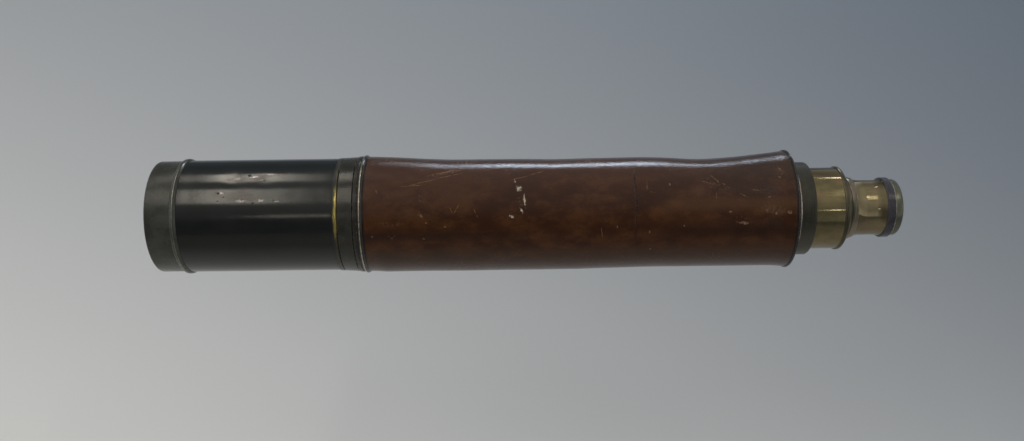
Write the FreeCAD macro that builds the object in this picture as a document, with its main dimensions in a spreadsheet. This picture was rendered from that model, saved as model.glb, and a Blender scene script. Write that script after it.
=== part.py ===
"""Single-draw brass telescope with a leather-covered barrel, a sliding sunshade and an eyepiece shutter.

Every piece but the shutter is turned, so it is drawn as a half profile and revolved about the optical axis.
Profiles use stations along that axis, in millimetres from the front edge of the closed sunshade, and radii
from it. Each body is then placed in the telescope's own frame: X along the axis with the eyepiece at +X,
Z up, and the origin on the surface that the telescope lies on, under the middle of its closed length.
"""

import FreeCAD, Part
import math
import os
import Sketcher

DIMENSIONS = {
    # the whole telescope
    "overall_length": 404.5,
    "rest_radius": 32.5,
    "assembly_gap": 0.3,
    "edge_break": 0.3,
    "bead_step": 0.2,
    "cut_margin": 1.0,
    # objective: clear aperture, lenses and their cell
    "aperture_radius": 25.4,
    "objective_radius": 26.6,
    "cell_bore_radius": 26.65,
    "cell_front": 6.0,
    "cell_flange_length": 3.5,
    "cell_flange_radius": 29.55,
    "cell_skirt_length": 12.0,
    "cell_bevel_radius": 28.3,
    "cell_lip": 0.7,
    "cell_shoulder_inset": 0.2,
    "crown_front": 7.7,
    "crown_thickness": 7.0,
    "crown_front_curve": 200.0,
    "inner_curve": 125.0,
    "foil_thickness": 0.12,
    "foil_inner_radius": 25.0,
    "foil_angle": 6.0,
    "flint_thickness": 3.0,
    "flint_rear_curve": 526.0,
    "retainer_front": 17.25,
    "retainer_length": 3.0,
    "notch_width": 2.0,
    "notch_depth": 1.2,
    # objective tube, under the sunshade
    "objective_tube_radius": 29.0,
    "tube_wall": 0.8,
    "objective_tube_end": 108.4,
    "baffle_thickness": 0.8,
    "baffle_rim": 5.0,
    "objective_baffle_station": 68.0,
    "objective_baffle_hole": 21.6,
    "barrel_baffle_station": 121.5,
    "barrel_baffle_hole": 18.0,
    # sunshade, drawn closed
    "sunshade_travel": 87.5,
    "shade_radius": 30.8,
    "shade_bore_radius": 29.7,
    "cap_seat_radius": 30.5,
    "cap_seat_length": 13.6,
    "mouth_radius": 28.6,
    "mouth_length": 5.5,
    "mouth_edge": 0.8,
    "shade_bead_radius": 31.8,
    "shade_bead_length": 3.4,
    "guide_ring_shoulder": 98.6,
    "guide_ring_bore_radius": 29.1,
    "guide_ring_radius": 31.05,
    "shade_end": 101.0,
    # collar in front of the leather, and the ring that it screws into
    "collar_length": 8.0,
    "collar_front_radius": 31.1,
    "collar_rear_radius": 31.5,
    "collar_bore_radius": 27.0,
    "joint_thread_radius": 28.0,
    "collar_spigot_end": 118.0,
    "leather_front": 114.8,
    "front_band_radius": 31.9,
    "front_band_length": 1.8,
    "groove_radius": 31.4,
    "front_bead_length": 2.9,
    "front_ring_skirt": 6.2,
    # barrel and its leather
    "barrel_radius": 30.0,
    "leather_radius": 31.3,
    "leather_end": 342.6,
    "rim_length": 1.2,
    "rim_side_radius": 32.0,
    "rear_ring_skirt": 9.4,
    "bush_thread_radius": 27.6,
    # bush that guides the draw
    "bush_flange_radius": 27.2,
    "bush_flange_length": 1.4,
    "bush_radius": 25.5,
    "bush_end": 354.6,
    "bush_edge": 1.2,
    "bush_bore_radius": 22.5,
    "sleeve_radius": 24.0,
    "sleeve_end": 349.0,
    "slit_width": 1.2,
    "slit_length": 26.0,
    # draw tube
    "draw_radius": 22.4,
    "draw_end": 370.4,
    "draw_travel": 150.0,
    "stop_ring_radius": 23.9,
    "stop_ring_front": 143.0,
    "stop_ring_length": 5.0,
    "stop_ring_bore_radius": 19.8,
    "thread_engagement": 5.0,
    "end_ring_thread_radius": 19.5,
    "end_ring_spigot": 8.0,
    "end_bead_radius": 23.05,
    "end_bead_length": 2.4,
    # eyepiece
    "mount_spigot_front": 364.0,
    "mount_end": 379.5,
    "mount_base_radius": 16.6,
    "mount_bead_radius": 17.2,
    "mount_bead_length": 2.7,
    "mount_groove": 0.3,
    "erector_thread_end": 376.0,
    "eyepiece_spigot_radius": 14.6,
    "eyepiece_bore_radius": 13.2,
    "eyepiece_root_radius": 16.3,
    "eyepiece_waist_front_radius": 15.2,
    "eyepiece_waist_rear_radius": 15.1,
    "eyepiece_tail_radius": 15.5,
    "eyepiece_waist_front": 384.6,
    "eyepiece_waist_rear": 390.5,
    "eyepiece_end": 395.6,
    "eyepiece_spigot_end": 398.9,
    "root_curve": 13.5,
    "tail_curve": 34.0,
    # erector tube and what it carries
    "erector_radius": 13.9,
    "erector_bore_radius": 13.1,
    "erector_front": 222.0,
    "erector_flange_length": 4.0,
    "erector_lens_radius": 9.5,
    "erector_lens_thickness": 3.5,
    "erector_lens_curve": 30.0,
    "erector_stop_station": 249.0,
    "erector_stop_hole": 2.6,
    "rear_erector_station": 272.0,
    "rear_erector_radius": 10.5,
    "rear_erector_curve": 36.0,
    "field_lens_station": 344.0,
    "field_lens_radius": 11.4,
    "field_lens_thickness": 4.0,
    "field_lens_curve": 28.0,
    "lens_clearance": 0.05,
    "lens_seat_width": 0.8,
    "cell_length": 9.0,
    "cell_web": 1.2,
    "field_stop_station": 370.5,
    "field_stop_hole": 8.2,
    # eye lens
    "eye_lens_radius": 9.0,
    "eye_lens_flat": 393.4,
    "eye_lens_thickness": 4.2,
    "eye_lens_curve": 22.0,
    "eye_cell_front": 386.0,
    "eye_cell_aperture": 8.4,
    "eye_cell_wall": 1.2,
    "eye_retainer_length": 1.6,
    # eye cap and shutter
    "cap_ring_radius": 16.5,
    "cap_ring_chamfer": 0.5,
    "cap_ring_web_front": 399.0,
    "cap_ring_end": 400.2,
    "cap_ring_window": 6.5,
    "eye_cap_radius": 15.5,
    "eye_cap_rounding": 1.9,
    "eye_hole_radius": 3.2,
    "shutter_recess_radius": 13.0,
    "shutter_recess_depth": 1.4,
    "dish_bottom_thickness": 1.0,
    "dish_bottom_radius": 11.4,
    "dish_rim_radius": 12.8,
    "shutter_thickness": 0.8,
    "shutter_radius": 3.8,
    "shutter_arm_width": 3.2,
    "pivot_offset": 8.0,
    "pivot_radius": 0.7,
    "pivot_hole_radius": 0.8,
    "pivot_head_radius": 1.5,
    "pivot_head_height": 0.7,
    "screw_slot_width": 0.4,
    "screw_slot_depth": 0.3,
    "knob_arm": 12.9,
    "knob_stem_radius": 0.55,
    "knob_radius": 1.1,
    "knob_height": 1.3,
    "knob_lift": 0.15,
    "knob_rounding": 0.4,
    "knob_slot_width": 1.6,
    "shutter_swing": 52.0,
    "washer_thickness": 0.2,
    "washer_radius": 1.9,
}

doc = FreeCAD.newDocument("telescope")


class Size:
    """A length with the sheet formula that gives it, so a drawn point and its constraint always agree."""

    def __init__(self, value, formula):
        self.value = float(value)
        self.formula = formula

    def _joined(self, other, sign, value):
        text = other.formula if isinstance(other, Size) else repr(float(other))
        return Size(value, f"({self.formula} {sign} {text})")

    def __add__(self, other):
        return self._joined(other, "+", self.value + number(other))

    def __sub__(self, other):
        return self._joined(other, "-", self.value - number(other))

    def __mul__(self, other):
        return self._joined(other, "*", self.value * number(other))

    def __truediv__(self, other):
        return self._joined(other, "/", self.value / number(other))

    def __neg__(self):
        return self * -1.0


def number(size):
    return size.value if isinstance(size, Size) else float(size)


class Sheet:
    """The spreadsheet of driving dimensions; sheet.some_name is that cell as a Size."""

    def __init__(self):
        self.cells = doc.addObject("Spreadsheet::Sheet", "Dims")
        for row, (name, value) in enumerate(DIMENSIONS.items(), 1):
            self.cells.set(f"A{row}", name)
            self.cells.set(f"B{row}", str(value))
            self.cells.setAlias(f"B{row}", name)
        doc.recompute()

    def __getattr__(self, name):
        return Size(DIMENSIONS[name], f"Dims.{name}")


def rise(curve, radius):
    """How far a sphere of radius curve falls back from its vertex at that distance from the axis."""
    height = curve.value - math.sqrt(curve.value**2 - radius.value**2)
    root = f"sqrt({curve.formula} ^ 2 - {radius.formula} ^ 2)"
    return Size(height, f"({curve.formula} - {root})")


def bead_curve(half_width, height):
    """Radius of the arc that spans a bead of that half width and height."""
    value = (half_width.value**2 + height.value**2) / (2 * height.value)
    formula = f"(({half_width.formula}) ^ 2 + ({height.formula}) ^ 2) / (2 * ({height.formula}))"
    return Size(value, f"({formula})")


class Arc:
    """Makes the side to the next corner an arc: with side +1 its centre is on the left of the way round."""

    def __init__(self, radius, side):
        self.radius = radius
        self.side = side


def origin_feature(body, role):
    return [f for f in body.Origin.OriginFeatures if f.Role == role][0]


def place(obj):
    """Moves a finished piece from bench stations to the telescope's own frame."""
    obj.setExpression("Placement.Base.x", "-Dims.overall_length / 2")
    obj.setExpression("Placement.Base.z", "Dims.rest_radius")


def new_body(label):
    body = doc.addObject("PartDesign::Body", label)
    body.Label = label
    place(body)
    return body


def new_sketch(body, name, plane, station=None, shift=None, turn=None):
    """A sketch on one of the body's own origin planes, lifted to a station along the plane's normal."""
    sketch = body.newObject("Sketcher::SketchObject", name)
    sketch.AttachmentSupport = [(origin_feature(body, plane), "")]
    sketch.MapMode = "FlatFace"
    if station is not None:
        sketch.setExpression(".AttachmentOffset.Base.z", station.formula)
    if shift is not None:
        sketch.setExpression(".AttachmentOffset.Base.y", shift.formula)
    if turn is not None:
        sketch.setExpression(".AttachmentOffset.Rotation.Angle", turn.formula)
    return sketch


def pin_down(sketch, geometry, position, x, y):
    """Fixes one point of the sketch at (x, y) by bound constraints; a coordinate of 0 lies on that axis."""
    for kind, size, axis in (("DistanceX", x, -2), ("DistanceY", y, -1)):
        if isinstance(size, Size):
            index = sketch.addConstraint(
                Sketcher.Constraint(kind, -1, 1, geometry, position, size.value)
            )
            sketch.setExpression(f"Constraints[{index}]", size.formula)
        else:
            sketch.addConstraint(Sketcher.Constraint("PointOnObject", geometry, position, axis))


def bound_radius(sketch, geometry, radius):
    index = sketch.addConstraint(Sketcher.Constraint("Radius", geometry, radius.value))
    sketch.setExpression(f"Constraints[{index}]", radius.formula)


def arc_between(start, end, arc):
    """Arc of a circle between two points, and whether it runs from start to end anticlockwise."""
    chord = end - start
    radius = arc.radius.value
    normal = FreeCAD.Vector(-chord.y, chord.x, 0).normalize()
    reach = math.sqrt(max(radius**2 - (chord.Length / 2) ** 2, 0.0))
    centre = (start + end) * 0.5 + normal * (reach * arc.side)
    angles = [math.atan2(p.y - centre.y, p.x - centre.x) for p in (start, end)]
    first, last = angles if arc.side > 0 else reversed(angles)
    circle = Part.Circle(centre, FreeCAD.Vector(0, 0, 1), radius)
    return Part.ArcOfCircle(circle, first, last), arc.side > 0


def draw_outline(sketch, outline):
    """Closed outline of (x, y) corners, with an Arc between two corners where the side is round."""
    corners = [item for item in outline if not isinstance(item, Arc)]
    arcs = {}
    for index, item in enumerate(outline):
        if isinstance(item, Arc):
            arcs[sum(not isinstance(before, Arc) for before in outline[:index]) - 1] = item
    points = [FreeCAD.Vector(number(x), number(y), 0) for x, y in corners]
    heads = []
    tails = []
    for index, start in enumerate(points):
        end = points[(index + 1) % len(points)]
        if index in arcs:
            shape, forward = arc_between(start, end, arcs[index])
        else:
            shape, forward = Part.LineSegment(start, end), True
        geometry = sketch.addGeometry(shape, False)
        heads.append((geometry, 1 if forward else 2))
        tails.append((geometry, 2 if forward else 1))
    for index, (x, y) in enumerate(corners):
        sketch.addConstraint(Sketcher.Constraint("Coincident", *tails[index - 1], *heads[index]))
        pin_down(sketch, *heads[index], x, y)
    for index, arc in arcs.items():
        bound_radius(sketch, heads[index][0], arc.radius)


def draw_circle(sketch, radius, x=0, y=0):
    middle = FreeCAD.Vector(number(x), number(y), 0)
    circle = Part.Circle(middle, FreeCAD.Vector(0, 0, 1), radius.value)
    geometry = sketch.addGeometry(circle, False)
    pin_down(sketch, geometry, 3, x, y)
    bound_radius(sketch, geometry, radius)


def turned(label, outline, angle=360.0):
    """A piece turned on a lathe: its half profile in stations and radii, revolved about the axis."""
    body = new_body(label)
    sketch = new_sketch(body, f"{label}_profile", "XY_Plane")
    draw_outline(sketch, outline)
    turning = body.newObject("PartDesign::Revolution", f"{label}_turning")
    turning.Profile = sketch
    turning.ReferenceAxis = (sketch, ["H_Axis"])
    turning.Angle = angle
    return body


def padded_up(body, sketch, length):
    pad = body.newObject("PartDesign::Pad", f"{sketch.Name}_pad")
    pad.Profile = sketch
    pad.setExpression("Length", length.formula)
    return pad


def cut_back(body, sketch, depth):
    """Pocket against the sketch's normal, checked to have removed something."""
    doc.recompute()
    before = body.Shape.Volume
    pocket = body.newObject("PartDesign::Pocket", f"{sketch.Name}_pocket")
    pocket.Profile = sketch
    pocket.setExpression("Length", depth.formula)
    doc.recompute()
    if not body.Shape.Volume < before:
        raise RuntimeError(f"{sketch.Name} cut nothing from {body.Label}")
    return pocket


def repeat_round(body, feature, count):
    """Repeats a feature evenly about the optical axis."""
    pattern = body.newObject("PartDesign::PolarPattern", f"{feature.Name}_pattern")
    pattern.Originals = [feature]
    pattern.Axis = (origin_feature(body, "X_Axis"), [""])
    pattern.Angle = 360.0
    pattern.Occurrences = count
    body.Tip = pattern
    return pattern


def draw_bar(sketch, half_length, half_width):
    """Rectangle centred on the sketch's origin."""
    left, low = -half_length, -half_width
    draw_outline(sketch, [(left, low), (half_length, low), (half_length, half_width), (left, half_width)])


def spanner_notches(body, rear_face, outer_radius):
    """One slot across the rear face, which leaves the ring two notches for a pin spanner."""
    sketch = new_sketch(body, f"{body.Label}_notches", "YZ_Plane", station=rear_face)
    draw_bar(sketch, outer_radius + dims.cut_margin, dims.notch_width / 2)
    cut_back(body, sketch, dims.notch_depth)


def plain_tube(label, front, end, bore, outside):
    return turned(label, [(front, bore), (end, bore), (end, outside), (front, outside)])


def cup_stop(label, station, outside, hole):
    """Blackened light stop pressed from sheet: a pierced disc with a rim that grips the tube."""
    inside = outside - dims.baffle_thickness
    web_end = station + dims.baffle_thickness
    rim_end = station + dims.baffle_rim
    outline = [
        (station, hole),
        (web_end, hole),
        (web_end, inside),
        (rim_end, inside),
        (rim_end, outside),
        (station, outside),
    ]
    return turned(label, outline)


def plano_lens(label, vertex, thickness, curve, radius):
    """Plano-convex lens with its curved side towards the objective."""
    flat = vertex + thickness
    edge = vertex + rise(curve, radius)
    return turned(label, [(vertex, 0), (flat, 0), (flat, radius), (edge, radius), Arc(curve, 1)])


def burnished_cell(label, front, outside, radius, thickness, flange=None):
    """Short cell with its lens rolled in: a seat as long as the lens, a lip before it and a web behind."""
    seat = radius + dims.lens_clearance
    aperture = radius - dims.lens_seat_width
    lens_front = front + dims.cell_web
    lens_rear = lens_front + thickness
    end = front + dims.cell_length
    outline = [
        (front, aperture),
        (lens_front, aperture),
        (lens_front, seat),
        (lens_rear, seat),
        (lens_rear, aperture),
        (end, aperture),
        (end, outside),
    ]
    if flange is None:
        outline.append((front, outside))
    else:
        shoulder = front + dims.erector_flange_length
        outline += [(shoulder, outside), (shoulder, flange), (front, flange)]
    return turned(label, outline)


def bead(front, base, length, top, side=1):
    """Two corners and the arc of a half-round bead, drawn from its rear corner to its front one."""
    curve = bead_curve(length / 2, top - base)
    return [(front + length, base), Arc(curve, side), (front, base)]


# ---------------------------------------------------------------- objective


def objective_cell():
    flange_end = dims.cell_front + dims.cell_flange_length
    skirt_end = flange_end + dims.cell_skirt_length
    skirt = dims.objective_tube_radius - dims.tube_wall
    seat = flange_end - dims.cell_shoulder_inset
    chamfer = dims.edge_break
    turned(
        "objective_cell",
        [
            (dims.cell_front, dims.cell_bevel_radius),
            (seat - dims.cell_lip, dims.aperture_radius),
            (seat, dims.aperture_radius),
            (seat, dims.cell_bore_radius),
            (skirt_end, dims.cell_bore_radius),
            (skirt_end, skirt),
            (flange_end, skirt),
            (flange_end, dims.cell_flange_radius),
            (dims.cell_front + chamfer, dims.cell_flange_radius),
            (dims.cell_front, dims.cell_flange_radius - chamfer),
        ],
    )


def objective_lenses():
    """Crown and flint glasses of the achromatic objective, the crown in front."""
    radius = dims.objective_radius
    crown_rear = dims.crown_front + dims.crown_thickness
    crown_edge = dims.crown_front + rise(dims.crown_front_curve, radius)
    hollow = rise(dims.inner_curve, radius)
    turned(
        "objective_crown",
        [
            (dims.crown_front, 0),
            (crown_rear, 0),
            Arc(dims.inner_curve, 1),
            (crown_rear - hollow, radius),
            (crown_edge, radius),
            Arc(dims.crown_front_curve, 1),
        ],
    )
    flint_front = crown_rear + dims.foil_thickness
    flint_rear = flint_front + dims.flint_thickness
    turned(
        "objective_flint",
        [
            (flint_front, 0),
            (flint_rear, 0),
            Arc(dims.flint_rear_curve, 1),
            (flint_rear - rise(dims.flint_rear_curve, radius), radius),
            (flint_front - hollow, radius),
            Arc(dims.inner_curve, -1),
        ],
    )


def objective_spacers():
    """Three slips of tin foil that hold the two glasses apart at their edges."""
    crown_rear = dims.crown_front + dims.crown_thickness
    inner = crown_rear - rise(dims.inner_curve, dims.foil_inner_radius)
    outer = crown_rear - rise(dims.inner_curve, dims.objective_radius)
    body = turned(
        "objective_spacers",
        [
            (inner, dims.foil_inner_radius),
            (inner + dims.foil_thickness, dims.foil_inner_radius),
            Arc(dims.inner_curve, 1),
            (outer + dims.foil_thickness, dims.objective_radius),
            (outer, dims.objective_radius),
            Arc(dims.inner_curve, -1),
        ],
        angle=DIMENSIONS["foil_angle"],
    )
    body.AllowCompound = True
    body.Tip.setExpression("Angle", "Dims.foil_angle")
    repeat_round(body, body.Tip, 3)


def objective_retainer():
    front = dims.retainer_front
    end = front + dims.retainer_length
    body = plain_tube("objective_retaining_ring", front, end, dims.aperture_radius, dims.cell_bore_radius)
    spanner_notches(body, end, dims.cell_bore_radius)


# ---------------------------------------------------------------- sunshade


def sunshade():
    ring_end = dims.cap_seat_length + dims.shade_bead_length
    bead_base = dims.shade_radius + dims.bead_step
    edge = dims.mouth_edge
    turned(
        "sunshade_front_ring",
        [
            (0, dims.mouth_radius),
            (dims.mouth_length, dims.mouth_radius),
            (dims.mouth_length, dims.shade_bore_radius),
            (ring_end, dims.shade_bore_radius),
            *bead(dims.cap_seat_length, bead_base, dims.shade_bead_length, dims.shade_bead_radius),
            (dims.cap_seat_length, dims.cap_seat_radius),
            (edge, dims.cap_seat_radius),
            Arc(edge, 1),
            (0, dims.cap_seat_radius - edge),
        ],
    )
    plain_tube(
        "sunshade_tube",
        ring_end,
        dims.guide_ring_shoulder,
        dims.shade_bore_radius,
        dims.shade_radius,
    )
    chamfer = dims.edge_break
    cell_rear = dims.cell_front + dims.cell_flange_length
    guide_front = cell_rear + dims.assembly_gap + dims.sunshade_travel
    turned(
        "sunshade_guide_ring",
        [
            (guide_front, dims.guide_ring_bore_radius),
            (dims.shade_end, dims.guide_ring_bore_radius),
            (dims.shade_end, dims.guide_ring_radius - chamfer),
            (dims.shade_end - chamfer, dims.guide_ring_radius),
            (dims.guide_ring_shoulder + chamfer, dims.guide_ring_radius),
            (dims.guide_ring_shoulder, dims.guide_ring_radius - chamfer),
            (dims.guide_ring_shoulder, dims.shade_bore_radius),
            (guide_front, dims.shade_bore_radius),
        ],
    )


# ---------------------------------------------------------------- barrel


def front_collar():
    """Collar at the rear of the objective tube, with the thread that joins it to the barrel."""
    front = dims.shade_end + dims.assembly_gap
    rear = front + dims.collar_length
    chamfer = dims.edge_break
    turned(
        "front_collar",
        [
            (front, dims.objective_tube_radius),
            (dims.objective_tube_end, dims.objective_tube_radius),
            (dims.objective_tube_end, dims.collar_bore_radius),
            (dims.collar_spigot_end, dims.collar_bore_radius),
            (dims.collar_spigot_end, dims.joint_thread_radius),
            (rear, dims.joint_thread_radius),
            (rear, dims.collar_rear_radius - chamfer),
            (rear - chamfer, dims.collar_rear_radius),
            (front + chamfer, dims.collar_front_radius),
            (front, dims.collar_front_radius - chamfer),
        ],
    )


def leather_front_ring():
    """Ring that ends the leather: a plain band, a groove and a half-round bead, with the female thread."""
    front = dims.shade_end + dims.assembly_gap + dims.collar_length + dims.assembly_gap
    band_end = front + dims.front_band_length
    bead_front = dims.leather_front - dims.front_bead_length
    skirt = dims.barrel_radius - dims.tube_wall
    skirt_end = dims.leather_front + dims.front_ring_skirt
    chamfer = dims.edge_break
    turned(
        "leather_front_ring",
        [
            (front, dims.joint_thread_radius),
            (skirt_end, dims.joint_thread_radius),
            (skirt_end, skirt),
            (dims.leather_front, skirt),
            *bead(bead_front, dims.groove_radius, dims.front_bead_length, dims.rest_radius),
            (band_end, dims.groove_radius),
            (band_end, dims.front_band_radius),
            (front + chamfer, dims.front_band_radius),
            (front, dims.front_band_radius - chamfer),
        ],
    )


def rear_end_ring():
    """Thin rim that ends the leather at the eyepiece end, with the female thread for the bush."""
    rear = dims.leather_end + dims.rim_length
    skirt = dims.barrel_radius - dims.tube_wall
    skirt_front = dims.leather_end - dims.rear_ring_skirt
    turned(
        "rear_end_ring",
        [
            (skirt_front, dims.bush_thread_radius),
            (rear, dims.bush_thread_radius),
            *bead(dims.leather_end, dims.rim_side_radius, dims.rim_length, dims.rest_radius),
            (dims.leather_end, skirt),
            (skirt_front, skirt),
        ],
    )


def draw_bush():
    """Collar that screws into the barrel's rear ring and guides the draw."""
    rim_rear = dims.leather_end + dims.rim_length
    spigot_front = dims.leather_end - dims.rear_ring_skirt
    flange_end = rim_rear + dims.bush_flange_length
    cove = dims.bush_flange_radius - dims.bush_radius
    turned(
        "draw_bush",
        [
            (spigot_front, dims.sleeve_radius),
            (dims.sleeve_end, dims.sleeve_radius),
            (dims.sleeve_end, dims.bush_bore_radius),
            (dims.bush_end, dims.bush_bore_radius),
            (dims.bush_end, dims.bush_radius - dims.bush_edge),
            Arc(dims.bush_edge, 1),
            (dims.bush_end - dims.bush_edge, dims.bush_radius),
            (flange_end + cove, dims.bush_radius),
            Arc(cove, -1),
            (flange_end, dims.bush_flange_radius),
            (rim_rear, dims.bush_flange_radius),
            (rim_rear, dims.bush_thread_radius),
            (spigot_front, dims.bush_thread_radius),
        ],
    )


def draw_guide_sleeve():
    """Long sleeve inside the bush, slit into four fingers that grip the draw."""
    front = dims.stop_ring_front + dims.stop_ring_length + dims.draw_travel + dims.assembly_gap
    end = dims.sleeve_end
    body = plain_tube("draw_guide_sleeve", front, end, dims.bush_bore_radius, dims.sleeve_radius)
    sketch = new_sketch(body, "sleeve_slit", "XY_Plane")
    half = dims.slit_width / 2
    reach = front + dims.slit_length
    start = front - dims.cut_margin
    draw_outline(sketch, [(start, -half), (reach, -half), (reach, half), (start, half)])
    repeat_round(body, cut_back(body, sketch, dims.sleeve_radius + dims.cut_margin), 4)


def barrel():
    inside = dims.barrel_radius - dims.tube_wall
    plain_tube("main_tube", dims.leather_front, dims.leather_end, inside, dims.barrel_radius)
    plain_tube(
        "leather_cover",
        dims.leather_front,
        dims.leather_end,
        dims.barrel_radius,
        dims.leather_radius,
    )
    plain_tube(
        "objective_tube",
        dims.cell_front + dims.cell_flange_length,
        dims.objective_tube_end,
        dims.objective_tube_radius - dims.tube_wall,
        dims.objective_tube_radius,
    )
    cup_stop(
        "objective_baffle",
        dims.objective_baffle_station,
        dims.objective_tube_radius - dims.tube_wall,
        dims.objective_baffle_hole,
    )
    cup_stop("barrel_baffle", dims.barrel_baffle_station, inside, dims.barrel_baffle_hole)


# ---------------------------------------------------------------- draw


def draw():
    inside = dims.draw_radius - dims.tube_wall
    flange_end = dims.stop_ring_front + dims.stop_ring_length
    plain_tube("draw_tube", flange_end, dims.draw_end, inside, dims.draw_radius)
    spigot_end = flange_end + dims.thread_engagement
    turned(
        "draw_stop_ring",
        [
            (dims.stop_ring_front, dims.stop_ring_bore_radius),
            (spigot_end, dims.stop_ring_bore_radius),
            (spigot_end, inside),
            (flange_end, inside),
            (flange_end, dims.stop_ring_radius),
            (dims.stop_ring_front, dims.stop_ring_radius),
        ],
    )
    spigot_front = dims.draw_end - dims.end_ring_spigot
    ring_end = dims.draw_end + dims.end_bead_length
    turned(
        "draw_end_ring",
        [
            (spigot_front, dims.end_ring_thread_radius),
            (ring_end, dims.end_ring_thread_radius),
            *bead(dims.draw_end, dims.draw_radius, dims.end_bead_length, dims.end_bead_radius),
            (dims.draw_end, inside),
            (spigot_front, inside),
        ],
    )


def eyepiece():
    """Beaded ring that screws into the draw, and the waisted barrel that screws into the ring."""
    shoulder = dims.draw_end + dims.end_bead_length
    first_bead = shoulder + dims.bead_step
    second_bead = first_bead + dims.mount_bead_length + dims.mount_groove
    beads = [
        *bead(second_bead, dims.mount_base_radius, dims.mount_bead_length, dims.mount_bead_radius),
        *bead(first_bead, dims.mount_base_radius, dims.mount_bead_length, dims.mount_bead_radius),
    ]
    turned(
        "eyepiece_mount",
        [
            (dims.mount_spigot_front, dims.erector_radius),
            (dims.erector_thread_end, dims.erector_radius),
            (dims.erector_thread_end, dims.eyepiece_spigot_radius),
            (dims.mount_end, dims.eyepiece_spigot_radius),
            (dims.mount_end, dims.mount_base_radius),
            *beads,
            (shoulder, dims.mount_base_radius),
            (shoulder, dims.end_ring_thread_radius),
            (dims.mount_spigot_front, dims.end_ring_thread_radius),
        ],
    )
    tail = dims.eyepiece_spigot_end
    turned(
        "eyepiece_barrel",
        [
            (dims.erector_thread_end, dims.eyepiece_bore_radius),
            (tail, dims.eyepiece_bore_radius),
            (tail, dims.eyepiece_spigot_radius),
            (dims.eyepiece_end, dims.eyepiece_spigot_radius),
            (dims.eyepiece_end, dims.eyepiece_tail_radius),
            Arc(dims.tail_curve, -1),
            (dims.eyepiece_waist_rear, dims.eyepiece_waist_rear_radius),
            (dims.eyepiece_waist_front, dims.eyepiece_waist_front_radius),
            Arc(dims.root_curve, -1),
            (dims.mount_end, dims.eyepiece_root_radius),
            (dims.mount_end, dims.eyepiece_spigot_radius),
            (dims.erector_thread_end, dims.eyepiece_spigot_radius),
        ],
    )


def erector():
    """Erector tube with its two lenses, the stop between them, and the field lens and stop behind."""
    plain_tube(
        "erector_tube",
        dims.erector_front,
        dims.erector_thread_end,
        dims.erector_bore_radius,
        dims.erector_radius,
    )
    front_cell = dims.erector_front - dims.erector_flange_length
    bore = dims.erector_bore_radius
    lenses = (
        (
            "erector_front",
            front_cell,
            dims.erector_lens_radius,
            dims.erector_lens_thickness,
            dims.erector_lens_curve,
        ),
        (
            "erector_rear",
            dims.rear_erector_station,
            dims.rear_erector_radius,
            dims.erector_lens_thickness,
            dims.rear_erector_curve,
        ),
        (
            "field",
            dims.field_lens_station,
            dims.field_lens_radius,
            dims.field_lens_thickness,
            dims.field_lens_curve,
        ),
    )
    for name, station, radius, thickness, curve in lenses:
        flange = dims.erector_radius if name == "erector_front" else None
        seat_length = thickness - rise(curve, radius - dims.lens_seat_width)
        burnished_cell(f"{name}_lens_cell", station, bore, radius, seat_length, flange)
        vertex = station + dims.cell_web + seat_length - thickness
        plano_lens(f"{name}_lens", vertex, thickness, curve, radius)
    cup_stop("erector_stop", dims.erector_stop_station, bore, dims.erector_stop_hole)
    cup_stop("field_stop", dims.field_stop_station, bore, dims.field_stop_hole)


def eye_lens():
    vertex = dims.eye_lens_flat - dims.eye_lens_thickness
    seat = dims.eye_lens_radius + dims.lens_clearance
    shoulder = vertex + rise(dims.eye_lens_curve, dims.eye_cell_aperture)
    turned(
        "eye_lens_cell",
        [
            (dims.eye_cell_front, dims.eyepiece_bore_radius - dims.eye_cell_wall),
            (shoulder - dims.cell_lip, dims.eye_cell_aperture),
            (shoulder, dims.eye_cell_aperture),
            (shoulder, seat),
            (dims.eye_lens_flat + dims.eye_retainer_length, seat),
            (dims.eye_lens_flat + dims.eye_retainer_length, dims.eyepiece_bore_radius),
            (dims.eye_cell_front, dims.eyepiece_bore_radius),
        ],
    )
    plano_lens(
        "eye_lens",
        vertex,
        dims.eye_lens_thickness,
        dims.eye_lens_curve,
        dims.eye_lens_radius,
    )
    end = dims.eye_lens_flat + dims.eye_retainer_length
    body = plain_tube("eye_lens_retainer", dims.eye_lens_flat, end, dims.eye_cell_aperture, seat)
    spanner_notches(body, end, seat)


def eye_cap_ring():
    chamfer = dims.cap_ring_chamfer
    turned(
        "eye_cap_ring",
        [
            (dims.eyepiece_end, dims.eyepiece_spigot_radius),
            (dims.cap_ring_web_front, dims.eyepiece_spigot_radius),
            (dims.cap_ring_web_front, dims.cap_ring_window),
            (dims.cap_ring_end, dims.cap_ring_window),
            (dims.cap_ring_end, dims.cap_ring_radius - chamfer),
            (dims.cap_ring_end - chamfer, dims.cap_ring_radius),
            (dims.eyepiece_end + chamfer, dims.cap_ring_radius),
            (dims.eyepiece_end, dims.cap_ring_radius - chamfer),
        ],
    )


# ---------------------------------------------------------------- eye cap and shutter


def pivot_cylinder(name, radius, depth, station, swing=None):
    """Cylinder along the telescope's axis on the shutter's pivot, or just the sector that the arm sweeps."""
    cylinder = doc.addObject("Part::Cylinder", name)
    cylinder.setExpression("Radius", radius.formula)
    cylinder.setExpression("Height", depth.formula)
    # the cylinder's own X becomes the telescope's -Z, its Y the telescope's +Y and its Z the +X
    cylinder.Placement.Rotation = FreeCAD.Rotation(FreeCAD.Vector(0, 1, 0), 90)
    cylinder.setExpression("Placement.Base.x", f"{station.formula} - Dims.overall_length / 2")
    cylinder.setExpression("Placement.Base.z", "Dims.rest_radius + Dims.pivot_offset")
    if swing is not None:
        cylinder.setExpression("Angle", swing.formula)
    return cylinder


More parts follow.
